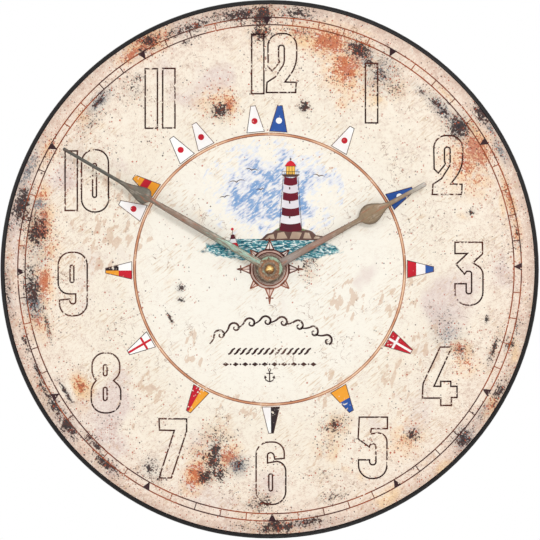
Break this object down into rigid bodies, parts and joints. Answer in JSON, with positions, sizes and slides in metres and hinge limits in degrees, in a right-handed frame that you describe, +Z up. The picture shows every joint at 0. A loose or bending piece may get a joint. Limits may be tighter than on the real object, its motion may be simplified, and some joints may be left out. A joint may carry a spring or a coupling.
{
  "type": "nautical wall clock",
  "caption": "Round nautical wall clock: aged printed dial on a black edged board, spade hands, and a battery movement with its wheel train behind.",
  "frame": {"origin": "where the wall hook bears, at the top of the hanger's eye, in the wall plane; the hands' axis is 35 mm below", "axes": "+Z up, -Y out of the dial towards the viewer, +Y into the wall, +X to the right as the dial is read"},
  "size_m": [0.36, 0.0351, 0.36],
  "materials": {
    "board": "fibreboard with a satin black painted edge and a raw back",
    "dial_print": "matt printed paper, aged cream with rust and black wear",
    "hand_patina": "antiqued copper brown with verdigris, satin",
    "brass": "polished brass",
    "arbor_steel": "turned steel",
    "gasket_rubber": "black rubber",
    "case_black": "moulded black plastic, fine grain",
    "knob_grey": "moulded light grey plastic",
    "wheel_white": "natural white moulded plastic",
    "soft_iron": "stamped soft iron",
    "magnet": "dark sintered magnet",
    "bobbin_plastic": "moulded cream plastic",
    "copper_wire": "lacquered copper winding",
    "circuit_card": "brown laminate with copper tracks",
    "chip_resin": "black resin drop",
    "contact_nickel": "nickel plated spring strip",
    "cell_steel": "plated steel",
    "cell_wrap": "plain green sleeve with a cream band"
  },
  "bodies": {
    "clock_body": {"dial_board": "board", "dial_paper": "dial_print", "rubber_gasket": "gasket_rubber", "dial_washer": "brass", "bush_nut": "brass", "threaded_bush": "brass", "front_case": "case_black", "rear_cover": "case_black", "gear_plate": "wheel_white", "stator": "soft_iron", "coil_core": "soft_iron", "coil_bobbin": "bobbin_plastic", "coil_winding": "copper_wire", "stator_screws": "arbor_steel", "circuit_board": "circuit_card", "clock_chip": "chip_resin", "quartz_crystal": "cell_steel", "positive_contact": "contact_nickel", "negative_contact": "contact_nickel"},
    "minute_works": {"minute_arbor": "arbor_steel", "centre_wheel": "wheel_white", "clutch_spring": "contact_nickel", "minute_hand": "hand_patina", "minute_collet": "brass", "cap_nut": "brass"},
    "hour_works": {"hour_wheel": "wheel_white", "hour_hand": "hand_patina", "hour_collet": "brass"},
    "motion_wheel": {"minute_wheel": "wheel_white"},
    "third_works": {"third_wheel": "wheel_white"},
    "seconds_works": {"seconds_wheel": "wheel_white"},
    "intermediate_works": {"intermediate_wheel": "wheel_white"},
    "rotor_works": {"rotor_arbor": "wheel_white", "rotor_magnet": "magnet"},
    "knob_works": {"setting_knob": "knob_grey"},
    "battery": {"cell_can": "cell_steel", "cell_sleeve": "cell_wrap"}
  },
  "joints": [
    {"name": "minute_hand_turn", "type": "hinge", "parent": "clock_body", "child": "minute_works", "pos_m": [0, -0.01, -0.035], "axis": [0, 1, 0], "continuous": true},
    {"name": "hour_hand_turn", "type": "hinge", "parent": "clock_body", "child": "hour_works", "pos_m": [0, -0.01, -0.035], "axis": [0, 1, 0], "continuous": true},
    {"name": "motion_wheel_turn", "type": "hinge", "parent": "clock_body", "child": "motion_wheel", "pos_m": [0.00789, -0.01, -0.03787], "axis": [0, 1, 0], "continuous": true},
    {"name": "third_wheel_turn", "type": "hinge", "parent": "clock_body", "child": "third_works", "pos_m": [-0.00735, -0.01, -0.02765], "axis": [0, 1, 0], "continuous": true},
    {"name": "seconds_wheel_turn", "type": "hinge", "parent": "clock_body", "child": "seconds_works", "pos_m": [0, -0.01, -0.035], "axis": [0, 1, 0], "continuous": true},
    {"name": "intermediate_wheel_turn", "type": "hinge", "parent": "clock_body", "child": "intermediate_works", "pos_m": [0.00728, -0.01, -0.02772], "axis": [0, 1, 0], "continuous": true},
    {"name": "rotor_turn", "type": "hinge", "parent": "clock_body", "child": "rotor_works", "pos_m": [0.01319, -0.01, -0.02667], "axis": [0, 1, 0], "continuous": true},
    {"name": "setting_knob_turn", "type": "hinge", "parent": "clock_body", "child": "knob_works", "pos_m": [0.01626, -0.01, -0.03861], "axis": [0, 1, 0], "continuous": true},
    {"name": "battery_lift", "type": "slide", "parent": "clock_body", "child": "battery", "axis": [0, 1, 0], "range_m": [0, 0.02]}
  ],
  "couplings": [
    {"joint": "hour_hand_turn", "follows": "minute_hand_turn", "ratio": 0.083333},
    {"joint": "motion_wheel_turn", "follows": "minute_hand_turn", "ratio": -0.33333},
    {"joint": "third_wheel_turn", "follows": "minute_hand_turn", "ratio": -8},
    {"joint": "seconds_wheel_turn", "follows": "minute_hand_turn", "ratio": 60},
    {"joint": "intermediate_wheel_turn", "follows": "minute_hand_turn", "ratio": -360},
    {"joint": "rotor_turn", "follows": "minute_hand_turn", "ratio": 1800},
    {"joint": "setting_knob_turn", "follows": "minute_hand_turn", "ratio": 1}
  ]
}
